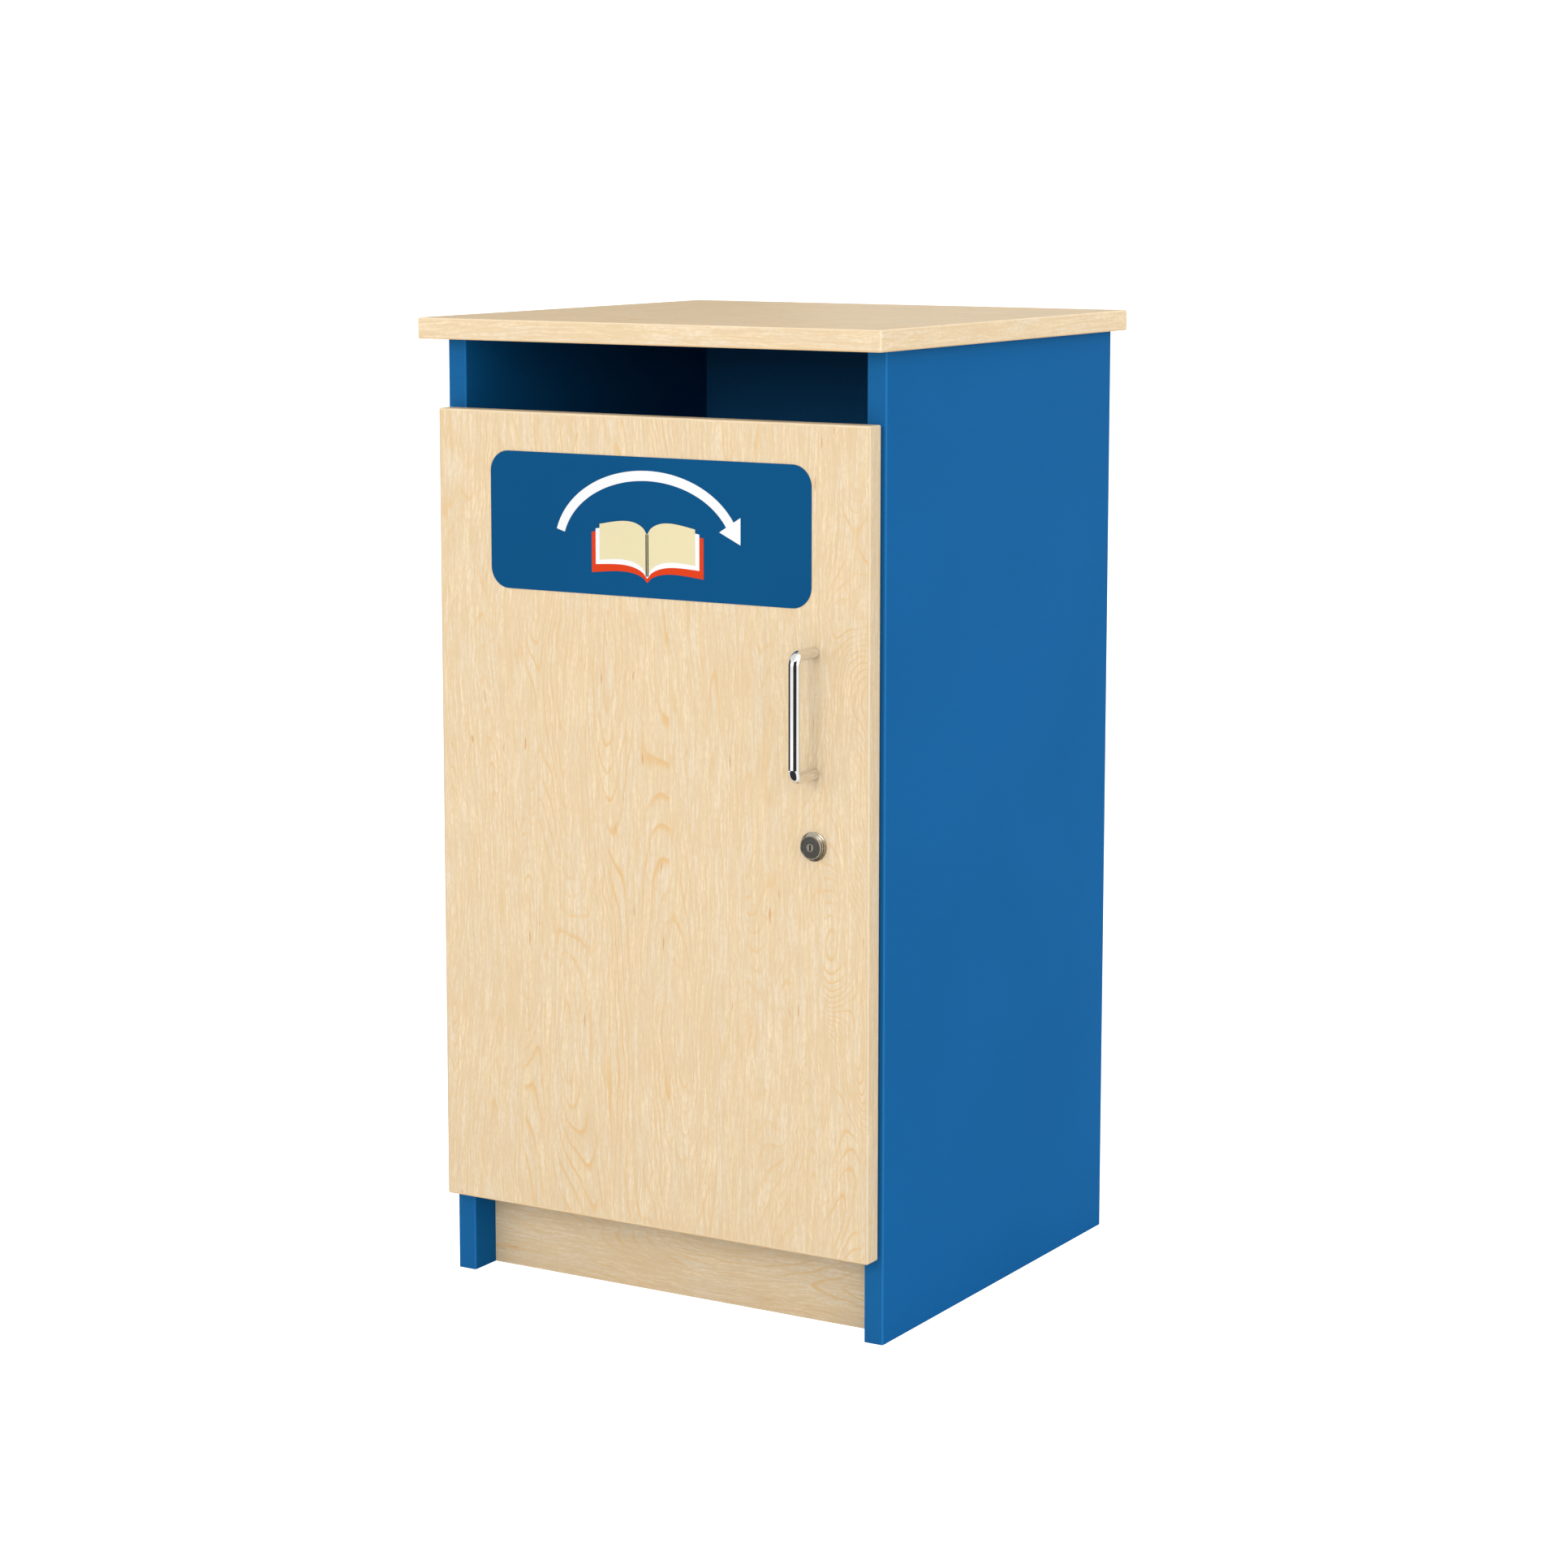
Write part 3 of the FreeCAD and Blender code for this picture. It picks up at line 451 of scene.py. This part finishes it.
def solids_of(node):
    """The lowest and highest corners of each separate solid of a CAD node."""
    bm = bmesh.new()
    bm.from_mesh(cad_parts[node].data)
    bmesh.ops.remove_doubles(bm, verts=bm.verts[:], dist=0.00001)
    waiting = set(bm.verts)
    boxes = []
    while waiting:
        reached = [waiting.pop()]
        points = []
        while reached:
            vert = reached.pop()
            points.append(vert.co.copy())
            for edge in vert.link_edges:
                other = edge.other_vert(vert)
                if other in waiting:
                    waiting.remove(other)
                    reached.append(other)
        boxes.append((Vector([min(point[axis] for point in points) for axis in range(3)]),
                      Vector([max(point[axis] for point in points) for axis in range(3)])))
    bm.free()
    return sorted(boxes, key=lambda corners: tuple(round(value, 4) for value in corners[0]))


def turned_to(direction):
    """The turn that takes +Z to a direction."""
    return Vector(direction).to_track_quat("Z", "Y").to_matrix().to_4x4()


# ---------------------------------------------------------------- edging strips
ARRIS = 1.6 * MM
BAND = 2.0 * MM


def front_strip(node, body, finish):
    """A straight strip whose two front edges are rounded."""
    low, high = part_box(node)
    bm = bmesh.new()

    def front_upright(edge):
        return along(edge, 2) and edge.verts[0].co.y < low.y + 0.1 * MM
    rounded_box(bm, low, high, ARRIS, front_upright)
    add_piece(f"{node}_strip", to_mesh(bm, node), finish, body, (node,))


def strip_ring(node, body, open_axis, finishes):
    """A ring of edging strip around a board: rounded outside, open through the board."""
    low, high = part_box(node)
    bm = bmesh.new()
    rounded_box(bm, low, high, ARRIS)
    faces = sorted(bm.faces, key=lambda face: abs(face.normal[open_axis]) * face.calc_area())[-2:]
    bmesh.ops.inset_individual(bm, faces=faces, thickness=BAND - ARRIS, use_even_offset=True)
    rims = [edge for face in faces for edge in face.edges]
    bmesh.ops.delete(bm, geom=faces, context="FACES_ONLY")
    bmesh.ops.bridge_loops(bm, edges=rims)
    mesh = to_mesh(bm, node)
    ring = add_piece(f"{node}_ring", mesh, finishes[0], body, (node,))
    mesh.materials.append(FINISH[finishes[1]])
    side_axis = 0
    for polygon in mesh.polygons:
        reach = min(polygon.center[side_axis] - low[side_axis], high[side_axis] - polygon.center[side_axis])
        polygon.material_index = 0 if reach < BAND else 1
    return ring


front_strip("left_side_edging", "carcass", "blue_edge")
front_strip("right_side_edging", "carcass", "blue_edge")
strip_ring("door_edging", "door", 1, ("strip_upright_shaded", "strip_lying"))
strip_ring("top_edging", "carcass", 2, ("strip_deep", "strip_lying"))


# ---------------------------------------------------------------- screws, discs, dowels and pads
def cross_recess(bm, rim, reach, width, top, depth):
    """Closes a turned head's open top with a flat that has a tapering cross recess."""
    long, short = reach / 2, width / 2
    taper = 0.7
    arm = [(long, -short), (long, short), (short, short)]
    outline = []
    for arm_number in range(4):
        outline += arm
        arm = [(-y, x) for x, y in arm]
    upper = [bm.verts.new((x, y, top)) for x, y in outline]
    lower = [bm.verts.new((taper * x, taper * y, top - depth)) for x, y in outline]
    loops = []
    for loop in (rim, upper):
        for index, vert in enumerate(loop):
            after = loop[(index + 1) % len(loop)]
            loops.append(bm.edges.get((vert, after)) or bm.edges.new((vert, after)))
    bmesh.ops.triangle_fill(bm, edges=loops, use_beauty=True, normal=(0, 0, 1))
    for index in range(len(upper)):
        after = (index + 1) % len(upper)
        bm.faces.new((upper[index], upper[after], lower[after], lower[index]))
    bm.faces.new(lower)


def screw_template(head_radius, head_height, shank_radius, length):
    """A pan-head screw along Z with its seat at 0, a cross recess and a thread of sharp ridges."""
    pitch = 1.1 * MM
    profile = [(0.72 * head_radius, 0.95 * head_height),
               (0.93 * head_radius, 0.68 * head_height), (head_radius, 0.35 * head_height), (head_radius, 0),
               (0.98 * shank_radius, 0)]
    turns = int((length - 3 * shank_radius) / pitch)
    for turn in range(turns):
        down = -0.0003 - turn * pitch
        profile += [(0.74 * shank_radius, down), (0.74 * shank_radius, down - 0.45 * pitch),
                    (0.99 * shank_radius, down - 0.72 * pitch)]
    profile += [(0.6 * shank_radius, -length + shank_radius), (0, -length)]
    bm = bmesh.new()
    rim = lathe(bm, profile, 40)[0]
    cross_recess(bm, rim, 1.2 * head_radius, 0.3 * head_radius, 0.95 * head_height, 0.7 * head_height)
    return to_mesh(bm, "screw")


def repeat(template, places):
    """One mesh with the template's shape at each place."""
    bm = bmesh.new()
    for place in places:
        copy = template.copy()
        copy.transform(place)
        bm.from_mesh(copy)
    mesh = bpy.data.meshes.new("repeated")
    bm.to_mesh(mesh)
    bm.free()
    return mesh


def screw_set(node, body, outward, head_radius, head_height, shank_radius):
    """Detailed screws where the CAD node has plain ones; outward is the way their heads face."""
    axis = max(range(3), key=lambda index: abs(outward[index]))
    places = []
    for low, high in solids_of(node):
        seat = (low + high) / 2
        top = high[axis] if outward[axis] > 0 else low[axis]
        seat[axis] = top - outward[axis] * head_height
        length = high[axis] - low[axis] - head_height
        places.append(Matrix.Translation(seat) @ turned_to(outward))
    template = screw_template(head_radius, head_height, shank_radius, length)
    add_piece(f"{node}_detail", repeat(template, places), "zinc", body, (node,))


# Each set's body, the way its heads face, and its head radius, head height and shank radius in mm
SCREWS = {
    "plate_screws": ("carcass", (1, 0, 0), 3.8, 1.8, 2.5),
    "arm_screws": ("carcass", (1, 0, 0), 3.6, 1.8, 2.0),
    "keep_screws": ("carcass", (-1, 0, 0), 3.2, 1.5, 1.75),
    "cup_screws": ("door", (0, 1, 0), 3.4, 1.5, 1.75),
    "handle_screws": ("door", (0, 1, 0), 4.0, 2.2, 2.0),
    "cam_screw": ("lock_rotor", (0, 1, 0), 3.6, 2.0, 1.5),
}
for node, (body, outward, head_radius, head_height, shank_radius) in SCREWS.items():
    screw_set(node, body, outward, head_radius * MM, head_height * MM, shank_radius * MM)


def fluted_dowels():
    """Beech dowels with pressed flutes and chamfered ends."""
    flutes, flute_depth, chamfer = 18, 0.35 * MM, 1.2 * MM
    for_each = {}
    for low, high in solids_of("dowels"):
        size = high - low
        axis = max(range(3), key=lambda index: size[index])
        for_each.setdefault(axis, []).append(((low + high) / 2, size[axis], min(size)))
    bm = bmesh.new()
    for axis, dowels in for_each.items():
        direction = [1.0 if index == axis else 0.0 for index in range(3)]
        for centre, length, width in dowels:
            rings = []
            for height, shrink in ((-length / 2, chamfer), (-length / 2 + chamfer, 0),
                                   (length / 2 - chamfer, 0), (length / 2, chamfer)):
                ring = []
                for step in range(2 * flutes):
                    turn = math.pi * step / flutes
                    radius = width / 2 - shrink - (flute_depth if step % 2 else 0)
                    point = Vector((radius * math.cos(turn), radius * math.sin(turn), height))
                    ring.append(bm.verts.new(Matrix.Translation(centre) @ turned_to(direction) @ point))
                rings.append(ring)
            for lower, upper in zip(rings, rings[1:]):
                for step in range(2 * flutes):
                    after = (step + 1) % (2 * flutes)
                    bm.faces.new((lower[step], lower[after], upper[after], upper[step]))
            bm.faces.new(rings[0])
            bm.faces.new(rings[-1])
    add_piece("dowels_fluted", to_mesh(bm, "dowels"), "beech", "carcass", ("dowels",), smooth_angle=20)


def cam_disc_details():
    """Die-cast discs with a cross recess and a rim, turned from below."""
    places = []
    for low, high in solids_of("cam_discs"):
        centre = (low + high) / 2
        places.append(Matrix.Translation((centre.x, centre.y, low.z)) @ turned_to((0, 0, -1)))
        radius, depth = (high.x - low.x) / 2, high.z - low.z
    rim = 0.6 * MM
    dish = -0.5 * MM
    profile = [(radius - 2.2 * rim, dish), (radius - 1.8 * rim, -0.05 * MM),
               (radius - 0.4 * rim, 0), (radius, -0.4 * rim),
               (radius, -depth + rim), (radius - rim, -depth), (0, -depth)]
    bm = bmesh.new()
    ring = lathe(bm, profile, 48)[0]
    cross_recess(bm, ring, 1.2 * radius, 0.3 * radius, dish, 3.5 * MM)
    add_piece("cam_discs_detail", repeat(to_mesh(bm, "disc"), places), "die_cast", "carcass", ("cam_discs",))


def domed_pads():
    """Soft buffers with a crowned face."""
    places = []
    for low, high in solids_of("door_buffers"):
        centre = (low + high) / 2
        places.append(Matrix.Translation((centre.x, low.y, centre.z)) @ turned_to((0, 1, 0)))
        radius, depth = (high.x - low.x) / 2, high.y - low.y
    profile = [(0, 0), (radius, 0), (radius, 0.25 * depth)]
    profile += [(radius * math.cos(turn), depth * (0.25 + 0.75 * math.sin(turn)))
                for turn in (math.radians(10 * step) for step in range(1, 9))]
    profile.append((0, depth))
    bm = bmesh.new()
    lathe(bm, profile, 48)
    add_piece("door_buffers_domed", repeat(to_mesh(bm, "pad"), places), "pad", "door", ("door_buffers",))


fluted_dowels()
cam_disc_details()
domed_pads()


# ---------------------------------------------------------------- handle
def bar_handle():
    """A bent round bar with its two feet on the door face."""
    low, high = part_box("handle")
    radius = (high.x - low.x) / 2
    bend = 8.0 * MM
    grip_y = low.y + radius
    top, bottom = high.z - radius, low.z + radius
    route = [Vector((0, high.y, top))]
    corners = ((grip_y + bend, top - bend, 90), (grip_y + bend, bottom + bend, 180))
    bend_steps = 16
    for centre_y, centre_z, start in corners:
        for step in range(bend_steps + 1):
            turn = math.radians(start + 90 * step / bend_steps)
            route.append(Vector((0, centre_y + bend * math.cos(turn), centre_z + bend * math.sin(turn))))
    route.append(Vector((0, high.y, bottom)))
    middle_x = (low.x + high.x) / 2
    sides = 48
    bm = bmesh.new()
    rings = []
    for index, point in enumerate(route):
        before = route[max(index - 1, 0)]
        after = route[min(index + 1, len(route) - 1)]
        run = (after - before).normalized()
        outward = run.cross(Vector((1, 0, 0)))
        ring = []
        for step in range(sides):
            turn = 2 * math.pi * step / sides
            offset = Vector((math.cos(turn), 0, 0)) + outward * math.sin(turn)
            ring.append(bm.verts.new(point + Vector((middle_x, 0, 0)) + offset * radius))
        rings.append(ring)
    for lower, upper in zip(rings, rings[1:]):
        for step in range(sides):
            after = (step + 1) % sides
            bm.faces.new((lower[step], lower[after], upper[after], upper[step]))
    bm.faces.new(rings[0])
    bm.faces.new(rings[-1])
    add_piece("handle_bar", to_mesh(bm, "handle"), "chrome", "door", ("handle",))


bar_handle()


# ---------------------------------------------------------------- lock
def lock_head():
    """The stepped head, the threaded barrel and the dark inset face of the cam lock."""
    low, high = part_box("lock_body")
    door_low, door_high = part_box("door_panel")
    axis_x, axis_z = (low.x + high.x) / 2, (low.z + high.z) / 2
    flange = (high.x - low.x) / 2
    proud = door_low.y - low.y
    barrel = 9.5 * MM
    bore = 3.45 * MM
    rear = door_low.y - high.y
    thread = []
    pitch = 1.0 * MM
    rear_face = door_low.y - door_high.y
    for turn in range(int((rear_face - rear) / pitch)):
        down = rear_face - turn * pitch
        thread += [(barrel, down - 0.25 * pitch), (barrel - 0.45 * MM, down - 0.75 * pitch)]
    outline = [(bore, rear), (barrel - 0.6 * MM, rear)] + thread[::-1]
    outline += [(barrel, rear_face), (barrel, 0), (flange, 0)]
    # The steps from the flange to the inset, as shares of the flange's radius and of the head's height
    steps = ((1.0, 0.12), (0.985, 0.18), (0.945, 0.22), (0.935, 0.30), (0.925, 0.42), (0.90, 0.47),
             (0.865, 0.50), (0.857, 0.56), (0.850, 0.70), (0.83, 0.75), (0.80, 0.78), (0.795, 0.84),
             (0.79, 0.95), (0.775, 1.0), (0.735, 1.0), (0.722, 0.97), (0.718, 0.90), (0.40, 0.90),
             (0.36, 0.90))
    outline += [(flange * share_radius, proud * share_height) for share_radius, share_height in steps]
    outline += [(bore, proud * 0.9), (bore, rear)]
    place = Matrix.Translation((axis_x, door_low.y, axis_z)) @ turned_to((0, -1, 0))
    bm = bmesh.new()
    lathe(bm, outline, 96)
    mesh = to_mesh(bm, "lock_head")
    mesh.transform(place)
    add_piece("lock_head", mesh, "nickel", "door", ("lock_body",), smooth_angle=28)

    face_radius = flange * 0.71
    crown = [(bore, proud * 0.905), (face_radius, proud * 0.905), (face_radius, proud * 0.955),
             (face_radius - 0.3 * MM, proud * 0.985), (face_radius - 1.4 * MM, proud * 0.985),
             (face_radius - 1.5 * MM, proud * 0.972), (face_radius - 1.7 * MM, proud * 0.972),
             (face_radius - 1.8 * MM, proud * 0.985), (bore + 0.9 * MM, proud * 0.99),
             (bore + 0.75 * MM, proud * 0.97), (bore + 0.1 * MM, proud * 0.97), (bore, proud * 0.96),
             (bore, proud * 0.905)]
    bm = bmesh.new()
    lathe(bm, crown, 96)
    mesh = to_mesh(bm, "lock_face")
    mesh.transform(place)
    add_piece("lock_face", mesh, "nickel_dark", "door", smooth_angle=28)


lock_head()


# ---------------------------------------------------------------- printed label
def plate(name, outlines, back_y, thickness, finish):
    """Flat printed shapes on the label, each from its outline of (x, z) points."""
    bm = bmesh.new()
    for outline in outlines:
        back = [bm.verts.new((x, back_y, z)) for x, z in outline]
        front = [bm.verts.new((x, back_y - thickness, z)) for x, z in outline]
        bm.faces.new(back)
        bm.faces.new(front[::-1])
        for index in range(len(outline)):
            after = (index + 1) % len(outline)
            bm.faces.new((back[after], back[index], front[index], front[after]))
    add_piece(name, to_mesh(bm, name), finish, "door", smooth_angle=10)


def page_curve(start, end, bulge, steps=14):
    """A page's edge from the spine outwards: it rises steeply and then lies flat."""
    points = []
    for step in range(steps + 1):
        share = step / steps
        rise = bulge * math.sin(math.pi * share ** 0.62)
        points.append((start[0] + (end[0] - start[0]) * share, start[1] + (end[1] - start[1]) * share + rise))
    return points


def page(side, width, spine_low, spine_high, corner_low, corner_high, bulge):
    """One side of the open book; side is -1 for the left page and 1 for the right."""
    lower = page_curve((0, spine_low), (width, corner_low), bulge)
    upper = page_curve((0, spine_high), (width, corner_high), bulge)
    return [(side * x, z) for x, z in lower + upper[::-1]]


def open_book_and_arrow():
    """A generic sign for returned books: an open book under a curved arrow."""
    low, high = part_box("sign_label")
    middle = (low.z + high.z) / 2
    ink = 0.12 * MM
    face = low.y

    def lifted(outline):
        return [(x * MM, middle + z * MM) for x, z in outline]

    cover = [lifted(page(side, 55, -46, -10, -40, -6, 6)) for side in (-1, 1)]
    leaves = [lifted(page(side, 51, -42.5, -8, -33, -3, 6.5)) for side in (-1, 1)]
    inner = [lifted(page(side, 47, -40.5, -6, -29, 1, 8)) for side in (-1, 1)]
    folds = [lifted([(side * 0.3, -41), (side * 0.3, -6), (side * 1.4, -5.2), (side * 1.4, -40.2)])
             for side in (-1, 1)]
    plate("sign_cover", cover, face, ink, "label_red")
    plate("sign_leaves", leaves, face - ink, ink, "label_white")
    plate("sign_pages", inner, face - 2 * ink, ink, "label_cream")
    plate("sign_fold", folds, face - 3 * ink, ink / 2, "label_dark")

    reach_x, reach_z, centre_z, half_band = 88.0, 62.0, -19.0, 4.2
    head_half, head_length = 12.0, 19.0
    start, end = math.radians(168), math.radians(24)
    steps = 48
    outer, inner_side = [], []
    for step in range(steps + 1):
        turn = start + (end - start) * step / steps
        point = Vector((reach_x * math.cos(turn), centre_z + reach_z * math.sin(turn)))
        across = Vector((math.cos(turn) / reach_x, math.sin(turn) / reach_z)).normalized() * half_band
        outer.append(tuple(point + across))
        inner_side.append(tuple(point - across))
    across = across.normalized()
    ahead = Vector((across.y, -across.x))
    head = [point + across * head_half, point + ahead * head_length, point - across * head_half]
    arrow = lifted(outer + [tuple(corner) for corner in head] + inner_side[::-1])
    plate("sign_arrow", [arrow], face, ink, "label_white")


open_book_and_arrow()


# ---------------------------------------------------------------- softened CAD edges
def soften(node, width):
    """Breaks the sharp edges of a stamped or cast piece."""
    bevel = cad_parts[node].modifiers.new("soft_edges", "BEVEL")
    bevel.width = width
    bevel.segments = 2
    bevel.limit_method = "ANGLE"
    bevel.angle_limit = math.radians(40)
    bevel.harden_normals = False


# Bevel widths in mm
for node, width in {"hinge_arms": 0.35, "hinge_plates": 0.4, "lock_keep": 0.3, "lock_cam": 0.3,
                    "lock_nut": 0.4, "lock_plug": 0.12, "sign_label": 0.08}.items():
    soften(node, width * MM)


# ---------------------------------------------------------------- floor, light and camera
def studio():
    """A plain pale floor under a soft white room, dimmer overhead and brighter to the right."""
    mesh = bpy.data.meshes.new("floor")
    reach = 30.0
    mesh.from_pydata([(-reach, -reach, 0), (reach, -reach, 0), (reach, reach, 0), (-reach, reach, 0)],
                     [], [(0, 1, 2, 3)])
    floor = bpy.data.objects.new("floor", mesh)
    bpy.context.scene.collection.objects.link(floor)
    floor.visible_camera = False
    graph = Graph("pale_floor", Roughness=0.9, Specular_IOR_Level=0.0)
    graph.to_shader("Base Color", (0.93, 0.93, 0.93, 1.0))
    mesh.materials.append(graph.material)

    world = bpy.data.worlds.new("soft_room")
    bpy.context.scene.world = world
    world.use_nodes = True
    nodes, links = world.node_tree.nodes, world.node_tree.links
    where = nodes.new("ShaderNodeTexCoord")
    split = nodes.new("ShaderNodeSeparateXYZ")
    links.new(where.outputs["Generated"], split.inputs[0])

    def strength(axis, low, high, to_low, to_high):
        spread = nodes.new("ShaderNodeMapRange")
        spread.interpolation_type = "SMOOTHSTEP"
        links.new(split.outputs[axis], spread.inputs[0])
        for socket, value in zip(list(spread.inputs)[1:5], (low, high, to_low, to_high)):
            socket.default_value = value
        return spread.outputs[0]

    product = nodes.new("ShaderNodeMath")
    product.operation = "MULTIPLY"
    links.new(strength(2, 0.10, 0.75, 1.4, 0.85), product.inputs[0])
    links.new(strength(0, -0.1, 0.9, 1.0, 1.55), product.inputs[1])
    links.new(product.outputs[0], nodes["Background"].inputs["Strength"])
    nodes["Background"].inputs["Color"].default_value = (1, 1, 1, 1)


def hidden_card(name, bm):
    """Adds a near-black card that lights and shades nothing and shows only in reflections."""
    card = bpy.data.objects.new(name, to_mesh(bm, name))
    bpy.context.scene.collection.objects.link(card)
    graph = Graph(f"{name}_black", Roughness=0.9, Specular_IOR_Level=0.0)
    graph.to_shader("Base Color", (0.03, 0.03, 0.034, 1.0))
    card.data.materials.append(graph.material)
    card.visible_camera = False
    card.visible_diffuse = False
    card.visible_shadow = False
    card.visible_transmission = False


def flag(name, from_azimuth, to_azimuth, distance, height):
    """A black card that only mirror reflections see; azimuth 0 is straight in front of the door."""
    bm = bmesh.new()
    steps = 12
    for lift in (0.0, height):
        for step in range(steps + 1):
            azimuth = math.radians(from_azimuth + (to_azimuth - from_azimuth) * step / steps)
            bm.verts.new((distance * math.sin(azimuth), -distance * math.cos(azimuth), lift))
    bm.verts.ensure_lookup_table()
    for step in range(steps):
        above = step + steps + 1
        bm.faces.new((bm.verts[step], bm.verts[step + 1], bm.verts[above + 1], bm.verts[above]))
    hidden_card(name, bm)


def floor_card(name, centre, radius):
    """A dark round card on the floor that only mirror reflections see."""
    bm = bmesh.new()
    bmesh.ops.create_circle(bm, cap_ends=True, segments=32, radius=radius,
                            matrix=Matrix.Translation((*centre, 0.002)))
    hidden_card(name, bm)


def soft_box(name, at, aim, size, watts):
    light = bpy.data.lights.new(name, "AREA")
    light.shape = "RECTANGLE"
    light.size, light.size_y = size
    light.energy = watts
    lamp = bpy.data.objects.new(name, light)
    lamp.location = at
    lamp.rotation_euler = (Vector(aim) - Vector(at)).to_track_quat("-Z", "Y").to_euler()
    bpy.context.scene.collection.objects.link(lamp)


def camera():
    """A long lens to the right of the box, just above its top, with the film shifted down."""
    view = bpy.data.cameras.new("camera")
    view.sensor_width = 36.0
    view.lens = 85.02
    view.shift_x = 0.0086
    view.shift_y = -0.07
    viewer = bpy.data.objects.new("camera", view)
    viewer.location = (1.6554, -2.7705, 0.9761)
    viewer.rotation_euler = (math.radians(90 - 7.97), 0.0, math.radians(30.89))
    bpy.context.scene.collection.objects.link(viewer)
    bpy.context.scene.camera = viewer


studio()
soft_box("front_box", (0.1, -3.2, 1.6), (0.0, -0.2, 0.5), (1.1, 1.1), 25.0)
flag("front_flag", 16.0, 72.0, 2.4, 1.7)
flag("left_flag", -150.0, -40.0, 2.4, 1.7)
floor_card("near_floor", (0.1, -1.65), 1.4)
camera()
bpy.context.scene.view_settings.view_transform = "Standard"
